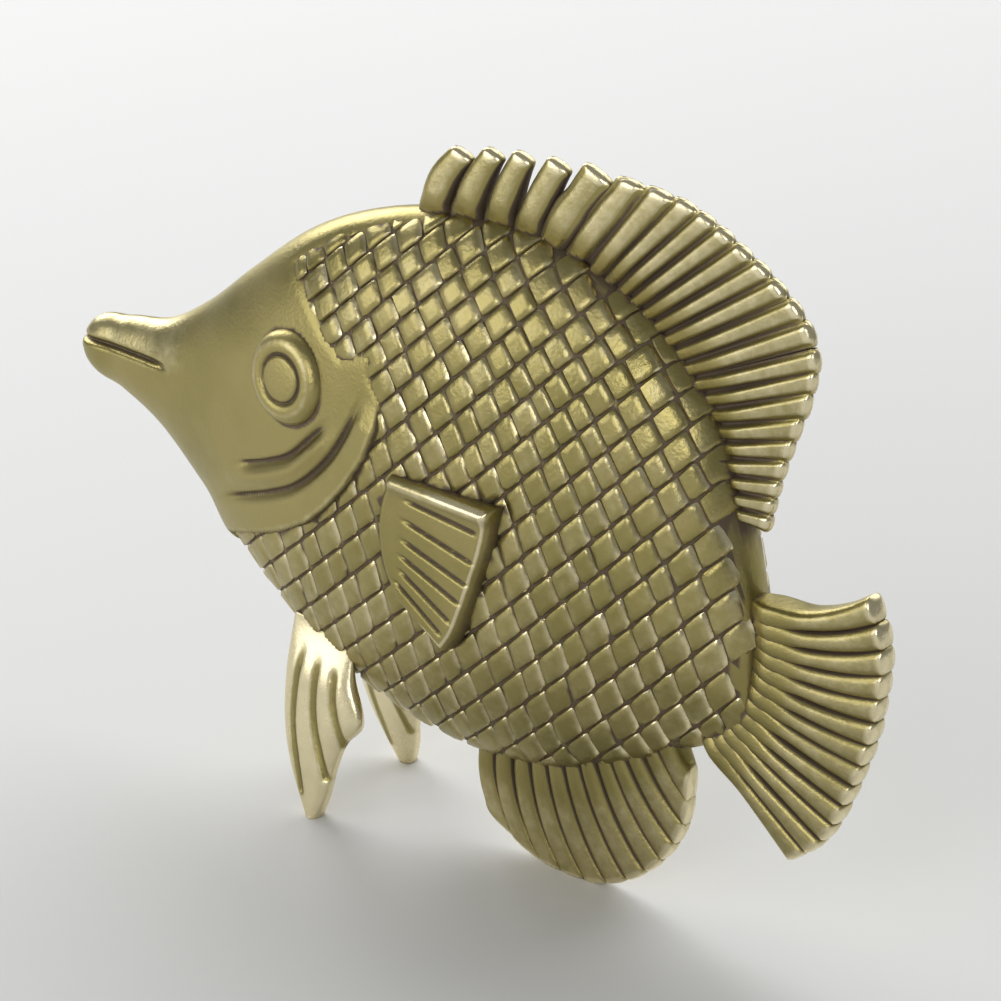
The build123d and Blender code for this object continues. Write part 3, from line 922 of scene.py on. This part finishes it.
def make_fan(name, roots, tips, bows, peaks, thickness, fill, cap, slants, merge=np.zeros_like):
    """A fin of overlapping rays. Bows bend them, and fill gives each one's width as a share of the pitch."""
    roots = np.array(roots, float)
    tips = np.array(tips, float)
    count = len(roots)
    lines = []
    for k in range(count):
        ahead = (tips[k] - roots[k]) / np.linalg.norm(tips[k] - roots[k])
        start = roots[k] - ahead * ROOT_SINK
        side = np.array((-ahead[1], ahead[0]))
        places = np.linspace(0, 1, CURVE_POINTS)[:, None]
        lines.append(start + (tips[k] - start) * places + side * bows[k] * 4 * places * (1 - places))
    rays = []
    uneven = np.random.default_rng(count).uniform(*UNEVEN, count)
    for k in range(count):
        low, high = max(k - 1, 0), min(k + 1, count - 1)
        ahead = (lines[k][-1] - lines[k][-2]) / np.linalg.norm(lines[k][-1] - lines[k][-2])
        edge = tips[high] - tips[low]
        across = edge @ np.array((ahead[1], -ahead[0]))
        slant = np.clip((edge @ ahead) / across, -STEEPEST_SLANT, STEEPEST_SLANT) * slants[k]
        outer = np.sign(across) * ((k == count - 1) - (k == 0))

        def half_width(t, k=k, low=low, high=high):
            before, after = follow(lines[low], t), follow(lines[high], t)
            pitch = np.linalg.norm(after - before, axis=-1) / (high - low)
            return pitch / 2 * (fill(k, t) + SHEET_OVERLAP * merge(t))

        def half_thickness(t, k=k):
            return thickness(t) * (1 + (uneven[k] - 1) * (1 - merge(t)))

        rays.append(make_ray(lines[k], half_width, half_thickness, cap, slant, outer, merge, peaks[k]))
    return join(name, rays)


def seat_on_ground(places):
    """Flattens what lies below the ground."""
    places[:, 2] = np.maximum(places[:, 2], 0)
    return places


def make_dorsal():
    """A comb along the back: free spines first, then rays with narrow crests over a web."""
    rest = len(DORSAL_TIPS) - len(DORSAL_ROOTS)
    roots = np.concatenate((DORSAL_ROOTS, follow(DORSAL_ROOT_LINE, np.linspace(0, 1, rest))))
    spines = len(SPINE_BOWS)
    webbed = len(roots) - spines
    bows = np.concatenate((SPINE_BOWS, np.zeros(webbed)))
    peaks = np.concatenate((SPINE_PEAKS, np.ones(webbed)))
    slants = np.repeat((SPINE_SLANT, DORSAL_SLANT), (spines, webbed))

    def fill(k, t):
        joined = min(DORSAL_JOINED[n] if n < len(DORSAL_JOINED) else 1.0 for n in (max(k - 1, 0), k))
        full, narrow, taper = WEBBED_WIDTH, WEBBED_END_WIDTH, 0.0
        if joined < FREE_BELOW:
            full, narrow, taper = FREE_JOINED_WIDTH, FREE_WIDTH, FREE_TAPER
        elif joined < 1:
            narrow = HALF_FREE_WIDTH
        apart = ease(joined + PARTING[0], joined + PARTING[1], t)
        return full - (full - narrow) * apart - taper * ease(*TAPER_SPAN, t)

    def thickness(t):
        root = DORSAL_ROOT_SHARE + (1 - DORSAL_ROOT_SHARE) * ease(*DORSAL_ROOT_SPAN, t)
        return (DORSAL_THICKNESS - DORSAL_THINNING * t) * root

    name = "brass_dorsal_fin"
    piece = make_fan(name, roots, DORSAL_TIPS, bows, peaks, thickness, fill, DORSAL_CAP, slants)
    write(piece, read(piece) * MM)
    return piece


def make_tail():
    """A fan whose rays grow out of one sheet at the root."""
    places = (np.arange(TAIL_RAYS) + 0.5) / TAIL_RAYS
    roots, tips = follow(TAIL_ROOT_LINE, places), follow(TAIL_TIP_LINE, places)
    bows = TAIL_FIRST_BOW + TAIL_BOW_CHANGE * places
    peaks = np.zeros(TAIL_RAYS)
    slants = np.ones(TAIL_RAYS)

    def thickness(t):
        root = TAIL_ROOT_SHARE + (1 - TAIL_ROOT_SHARE) * ease(0.0, TAIL_ROOT_END, t)
        return (TAIL_THICKNESS - TAIL_THINNING * t) * root

    def fill(k, t):
        return TAIL_WIDTH

    def merge(t):
        return 1 - ease(TAIL_ROOT_END, TAIL_SHEET_END, t)

    piece = make_fan("brass_tail_fin", roots, tips, bows, peaks, thickness, fill, TAIL_CAP, slants, merge)
    write(piece, read(piece) * MM)
    return piece


def make_anal():
    """A fan under the rear body, with its lowest rays flat on the ground."""
    places = (np.arange(ANAL_RAYS) + 0.5) / ANAL_RAYS
    roots, tips = follow(ANAL_ROOT_LINE, places), follow(ANAL_TIP_LINE, places)
    bows = ANAL_FIRST_BOW + ANAL_BOW_CHANGE * places
    peaks = np.full(ANAL_RAYS, ANAL_PEAK)
    slants = np.ones(ANAL_RAYS)

    def thickness(t):
        return ANAL_THICKNESS - ANAL_THINNING * t

    def fill(k, t):
        return ANAL_WIDTH

    piece = make_fan("brass_anal_fin", roots, tips, bows, peaks, thickness, fill, ANAL_CAP, slants)
    write(piece, seat_on_ground(read(piece)) * MM)
    return piece


def spread_between(places, front_edge, rear_edge):
    """Lays a slab between two edges: its places from the side, and its shares to the rear and down."""
    t = (places[:, 0] + 1) / 2
    s = (1 - places[:, 1]) / 2
    front, rear = follow(front_edge, s), follow(rear_edge, s)
    spot = front + (rear - front) * t[:, None]
    return spot[:, 0], spot[:, 1], t, s


def make_pelvic():
    """A leaf with a lobed rear edge that leans out down to its foot."""
    piece = slab("brass_left_pelvic_fin", *PELVIC_CELLS)
    places = read(piece)
    x, along, t, s = spread_between(places, PELVIC_FRONT, PELVIC_REAR)
    cut = np.zeros(len(x))
    for line in PELVIC_GROOVES:
        gap, where = distance_to_line(x, along, follow(line, np.linspace(0, 1, 12)))
        ends = ease(0, LINE_FADE, where)
        cut = np.maximum(cut, PELVIC_GROOVE_DEPTH * bell(gap, PELVIC_GROOVE_WIDTH) * ends)
    lens = np.clip(1 - np.abs(2 * t - 1) ** PELVIC_POWERS[0], 0, 1) ** PELVIC_POWERS[1]
    root = PELVIC_ROOT_SHARE + (1 - PELVIC_ROOT_SHARE) * ease(0.0, PELVIC_ROOT_END, s)
    half = (PELVIC_EDGE + PELVIC_SWELL * lens) * (1 - PELVIC_THINNING * s) * root
    out = np.where(on_face(places), half - cut, -half)
    splay = math.radians(PELVIC_SPLAY)
    y = -PELVIC_FOOT + along * math.sin(splay) - out * math.cos(splay)
    z = along * math.cos(splay) + out * math.sin(splay)
    write(piece, seat_on_ground(np.stack((x, y, z), 1)) * MM)
    # Painted pale, as rubbing and as a painted highlight, less in the grooves
    paint(piece, "wear_and_highlight", np.clip(PELVIC_WEAR_AND_HIGHLIGHT - cut * PELVIC_GROOVE_WEAR, 0, 1))
    paint(piece, "grime_and_shade", np.clip(cut / PELVIC_GROOVE_DEPTH, 0, 1) ** 2 * PELVIC_GRIME)
    return piece


def make_pectoral():
    """A thick plate with six grooves, its rear edge standing off the flank."""
    piece = slab("brass_left_pectoral_fin", *PECTORAL_CELLS)
    places = read(piece)
    x, z, t, _ = spread_between(places, PECTORAL_FRONT, PECTORAL_REAR)
    face = PECTORAL_CENTRE[1] + math.tan(math.radians(PECTORAL_LEAN)) * (x - PECTORAL_CENTRE[0])
    steps = np.linspace(0, 1, 24)
    outline = np.concatenate((follow(PECTORAL_FRONT, steps), follow(PECTORAL_REAR, steps)[::-1]))
    rim, _ = distance_to_line(x, z, np.concatenate((outline, outline[:1])))
    cut = np.zeros(len(x))
    for line in PECTORAL_GROOVES:
        gap, where = distance_to_line(x, z, line)
        ends = ease(0, LINE_FADE, where) * ease(*PECTORAL_GROOVE_END, 1 - where)
        cut = np.maximum(cut, PECTORAL_GROOVE_DEPTH * bell(gap, PECTORAL_GROOVE_WIDTH) * ends)
    round_off = PECTORAL_ROUND * (1 - round_end(1 - rim / PECTORAL_ROUND))
    to_top, _ = distance_to_line(x, z, (PECTORAL_FRONT[0], PECTORAL_REAR[0]))
    brow = BROW_RISE * bell(to_top - BROW_DROP, BROW_WIDTH)
    outer = face - cut - round_off + brow - PECTORAL_SET_IN
    top = on_face(places)
    y = np.where(top, outer, face - PECTORAL_THICKNESS)
    x = np.where(top, x, x + PECTORAL_WALL_SLOPE * t**6)
    write(piece, np.stack((x, -y, z), 1) * MM)
    # Rubbed brow with a painted highlight, and a painted highlight line inside the rim
    worn_and_highlight = bell(rim - RIM_LINE, RIM_LINE_WIDTH) * ease(*RIM_LINE_ALONG, t) + brow * BROW_WEAR_AND_HIGHLIGHT
    paint(piece, "wear_and_highlight", np.where(top, np.clip(worn_and_highlight, 0, 1), 0.0))
    # Dirt in the grooves, and painted shade along the edge and on the back
    dirt_and_shade = (cut / PECTORAL_GROOVE_DEPTH) ** 2 + RIM_SHADE * (1 - ease(0.0, RIM_SHADE_WIDTH, rim))
    paint(piece, "grime_and_shade", np.where(top, np.clip(dirt_and_shade, 0, 1), PECTORAL_BACK_SHADE))
    return piece


def make_eye():
    """A round ring with a domed pupil inside it, turned about its own axis."""
    piece = ball("brass_left_eye", EYE_CELLS, EYE_CELLS)
    places = read(piece)
    turn = np.arccos(np.clip(places[:, 2], -1, 1)) / math.pi
    around = np.arctan2(places[:, 1], places[:, 0])
    outline = np.array(EYE_OUTLINE)
    # Most rings go to the front, which ends two points before the middle of the back
    front_end = marks_along(outline)[-3]
    spot = follow(outline, np.interp(turn, (0, EYE_FRONT_SHARE, 1), (0, front_end, 1)))
    at_back = turn > 1 - EYE_POLE
    radius = np.where((turn < EYE_POLE) | at_back, 0, np.maximum(spot[:, 0], 0))
    rise = np.where(at_back, outline[-1, 1], spot[:, 1])
    yaw, tilt = math.radians(EYE_TURN), math.radians(EYE_TILT)
    normal = np.array((-math.sin(yaw) * math.cos(tilt), -math.cos(yaw) * math.cos(tilt), math.sin(tilt)))
    right = np.array((math.cos(yaw), -math.sin(yaw), 0))
    up = np.cross(right, normal)
    up = up if up[2] > 0 else -up
    x, z = EYE_PLACE
    half, _ = flank(np.array([x]), np.array([z]))
    centre = np.array((x, -half[0], z))
    spots = centre + np.outer(radius * np.cos(around), right) + np.outer(radius * np.sin(around), up)
    spots = spots + np.outer(rise, normal)
    write(piece, spots * MM)
    paint(piece, "wear_and_highlight", EYE_RIM_WEAR * bell(radius - EYE_RIM, EYE_RIM_WIDTH) * (rise > EYE_WEAR_ABOVE))
    dark = bell(radius - EYE_GROOVE, EYE_GROOVE_WIDTH) + ease(*EYE_SEAT, rise)
    paint(piece, "grime_and_shade", np.clip(dark, 0, 1))
    return piece


def soak(pieces):
    """Finds how shut in each place is, by looking out from it in fixed directions: dirt stays there, and
    shade is painted there.
    """
    k = np.arange(LOOKS_OUT) + 0.5
    lift = np.sqrt(1 - k / LOOKS_OUT)
    spin = k * math.pi * (3 - math.sqrt(5))
    flat = np.sqrt(1 - lift**2)
    directions = np.stack((flat * np.cos(spin), flat * np.sin(spin), lift), 1)
    corners, faces, base = [], [], 0
    for piece in pieces:
        corners.append(read(piece) / MM)
        faces.extend([base + n for n in face.vertices] for face in piece.data.polygons)
        base += len(piece.data.vertices)
    cast = BVHTree.FromPolygons(np.concatenate(corners).tolist(), faces).ray_cast
    for piece, places in zip(pieces, corners):
        normals = np.zeros(len(places) * 3, np.float32)
        piece.data.vertices.foreach_get("normal", normals)
        normals = normals.reshape(-1, 3).astype(float)
        side = np.cross(normals, np.where(np.abs(normals[:, 2:]) < 0.9, (0, 0, 1), (1, 0, 0)))
        side /= np.linalg.norm(side, axis=1, keepdims=True) + 1e-12
        other = np.cross(normals, side)
        starts = places + normals * LOOK_START
        grime_and_shade = painted(piece, "grime_and_shade")
        shut = np.zeros(len(places))
        open_places = np.flatnonzero(grime_and_shade < FULL_GRIME).tolist()
        for direction in directions:
            ways = side * direction[0] + other * direction[1] + normals * direction[2]
            for n in open_places:
                distance = cast(starts[n], ways[n], LOOK_REACH)[3]
                if distance is not None:
                    shut[n] += 1 - FAR_SHARE * distance / LOOK_REACH
        # Recess: dirt and painted shade where a place is shut in, with the painted dirt and shade layer
        # added
        paint(piece, "recess", np.clip(shut / LOOKS_OUT + GRIME_SHARE * grime_and_shade, 0, 1))


class Value:
    """A number that changes over the surface. Arithmetic on it adds Math nodes to its finish."""

    def __init__(self, finish, socket):
        self.finish = finish
        self.socket = socket

    def math(self, operation, *values):
        """Result of one Math node."""
        node = self.finish.node("ShaderNodeMath", {"operation": operation}, dict(enumerate(values)))
        return Value(self.finish, node.outputs[0])

    def __add__(self, other):
        return self.math("ADD", self, other)

    def __radd__(self, other):
        return self.math("ADD", other, self)

    def __sub__(self, other):
        return self.math("SUBTRACT", self, other)

    def __rsub__(self, other):
        return self.math("SUBTRACT", other, self)

    def __mul__(self, other):
        return self.math("MULTIPLY", self, other)

    def __rmul__(self, other):
        return self.math("MULTIPLY", other, self)

    def between(self, low, high):
        """0 below low, 1 above high, with a soft change between."""
        node = self.finish.node(
            "ShaderNodeMapRange",
            {"interpolation_type": "SMOOTHSTEP"},
            {"Value": self, "From Min": low, "From Max": high},
        )
        return Value(self.finish, node.outputs["Result"])


class Finish:
    """A material and its nodes."""

    def __init__(self, name):
        self.material = bpy.data.materials.new(name)
        self.material.use_nodes = True
        self.tree = self.material.node_tree
        self.shader = self.tree.nodes["Principled BSDF"]

    def node(self, kind, settings, inputs):
        """Adds a node with its settings and inputs."""
        made = self.tree.nodes.new(kind)
        for key, value in settings.items():
            setattr(made, key, value)
        for key, value in inputs.items():
            self.feed(made.inputs[key], value)
        return made

    def feed(self, socket, value):
        """Links a socket to a value of the surface, or sets it."""
        if isinstance(value, Value):
            value = value.socket
        if isinstance(value, bpy.types.NodeSocket):
            self.tree.links.new(value, socket)
        else:
            socket.default_value = value

    def layer(self, name):
        """A number painted on the vertices."""
        return Value(self, self.node("ShaderNodeAttribute", {"attribute_name": name}, {}).outputs["Fac"])

    def noise(self, scale, detail, roughness=0.5):
        """A cloudy pattern, fixed to the piece."""
        place = self.node("ShaderNodeTexCoord", {}, {}).outputs["Object"]
        inputs = {"Vector": place, "Scale": scale, "Detail": detail, "Roughness": roughness}
        made = self.node("ShaderNodeTexNoise", {}, inputs)
        return Value(self, made.outputs["Fac"])

    def blend(self, share, first, second):
        """Colour between two colours, by the colour sockets of a Mix node."""
        first_colour, second_colour, result_colour = 6, 7, 2
        made = self.node("ShaderNodeMix", {"data_type": "RGBA"}, {"Factor": share})
        self.feed(made.inputs[first_colour], first)
        self.feed(made.inputs[second_colour], second)
        return made.outputs[result_colour]


def antique_brass():
    """Cast brass, dark with dirt and painted shade in its grooves and hollows, and bright where it is rubbed
    or has a painted highlight.
    """
    finish = Finish("antique_brass")
    # Layers of dirt with painted shade, and of wear with painted highlights
    recess, wear_and_highlight = finish.layer("recess"), finish.layer("wear_and_highlight")
    cloud = finish.noise(CLOUD_SCALE, 3)
    grain = finish.noise(GRAIN_SCALE, 4, 0.6)
    speck = finish.noise(SPECK_SCALE, 2)
    # Dark where dirt lies and where shade is painted in
    dirt_and_shade = (recess - wear_and_highlight * 0.2 + (cloud - 0.5) * 0.22 + (grain - 0.5) * 0.2).between(0.16, 0.55)
    # Bright where rubbed and where a highlight is painted
    rubbed_and_highlight = (wear_and_highlight + (grain - 0.5) * 0.45 + (cloud - 0.5) * 0.15 - recess * 0.8).between(0.3, 1.0)
    brass = finish.blend(cloud.between(0.35, 0.65), BRASS_DARK, BRASS_LIGHT)
    bright = finish.blend(rubbed_and_highlight * 0.85, brass, BRASS_RUBBED_AND_HIGHLIGHT)
    colour = finish.blend(dirt_and_shade * 0.9, bright, BRASS_DIRT_AND_SHADE)
    finish.feed(finish.shader.inputs["Base Color"], colour)
    finish.feed(finish.shader.inputs["Metallic"], 1 - dirt_and_shade * 0.45)
    roughness = 0.36 + (cloud - 0.5) * 0.16 + (grain - 0.5) * 0.14 + dirt_and_shade * 0.26 - rubbed_and_highlight * 0.1
    finish.feed(finish.shader.inputs["Roughness"], roughness)
    skin = (grain * 0.12 + speck * 0.5 + cloud * 0.15) * (1 - rubbed_and_highlight * 0.6)
    bump = finish.node(
        "ShaderNodeBump", {}, {"Strength": BUMP_STRENGTH, "Distance": BUMP_HEIGHT, "Height": skin}
    )
    finish.feed(finish.shader.inputs["Normal"], bump.outputs["Normal"])
    return finish.material


def pale_floor():
    """Plain dull floor."""
    finish = Finish("pale_floor")
    finish.feed(finish.shader.inputs["Base Color"], FLOOR_COLOUR)
    finish.feed(finish.shader.inputs["Roughness"], FLOOR_ROUGHNESS)
    return finish.material


def softbox(name, place, size, power):
    """A round lamp that looks at the fish."""
    deselect()
    bpy.ops.object.light_add(type="AREA", location=place)
    lamp = bpy.context.object
    lamp.name = name
    lamp.data.shape = "DISK"
    lamp.data.size = size
    lamp.data.energy = power
    lamp.rotation_mode = "QUATERNION"
    lamp.rotation_quaternion = (Vector(LAMP_AIM) - Vector(place)).to_track_quat("-Z", "Y")


# Pieces of the fish
body = make_body()
left_scales = make_scales()
dorsal_fin = make_dorsal()
tail_fin = make_tail()
anal_fin = make_anal()
left_pectoral_fin = make_pectoral()
left_pelvic_fin = make_pelvic()
left_eye = make_eye()
for piece in (body, dorsal_fin, tail_fin, anal_fin, left_pectoral_fin, left_pelvic_fin, left_eye):
    turn_faces_out(piece)
right_scales = mirrored(left_scales, "brass_right_scales")
right_pectoral_fin = mirrored(left_pectoral_fin, "brass_right_pectoral_fin")
right_pelvic_fin = mirrored(left_pelvic_fin, "brass_right_pelvic_fin")
right_eye = mirrored(left_eye, "brass_right_eye")

stands_for = {
    body: "body",
    left_scales: "body",
    right_scales: "body",
    dorsal_fin: "dorsal_fin",
    tail_fin: "tail_fin",
    anal_fin: "anal_fin",
    left_pectoral_fin: "left_pectoral_fin",
    right_pectoral_fin: "right_pectoral_fin",
    left_pelvic_fin: "left_pelvic_fin",
    right_pelvic_fin: "right_pelvic_fin",
    left_eye: "left_eye",
    right_eye: "right_eye",
}
soak(list(stands_for))
brass = antique_brass()
for piece, node in stands_for.items():
    piece.data.materials.clear()
    piece.data.materials.append(brass)
    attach(piece, "root")
    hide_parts(node)

# Floor, light and camera
deselect()
bpy.ops.mesh.primitive_plane_add(size=FLOOR_SIZE)
floor = bpy.context.object
floor.name = "floor"
floor.data.materials.append(pale_floor())

world = bpy.data.worlds.new("studio")
bpy.context.scene.world = world
world.use_nodes = True
world.node_tree.nodes["Background"].inputs["Color"].default_value = GLOW_COLOUR
world.node_tree.nodes["Background"].inputs["Strength"].default_value = GLOW
for lamp in LAMPS:
    softbox(*lamp)

bpy.ops.object.camera_add(location=CAMERA_PLACE)
camera = bpy.context.object
camera.rotation_mode = "QUATERNION"
camera.rotation_quaternion = Vector(CAMERA_WAY).to_track_quat("-Z", "Y")
camera.data.sensor_width = SENSOR_WIDTH
camera.data.lens = SENSOR_WIDTH * FOCAL_PIXELS / IMAGE_WIDTH
camera.data.clip_start = CLIP_START
bpy.context.scene.camera = camera
bpy.context.scene.view_settings.view_transform = "Standard"
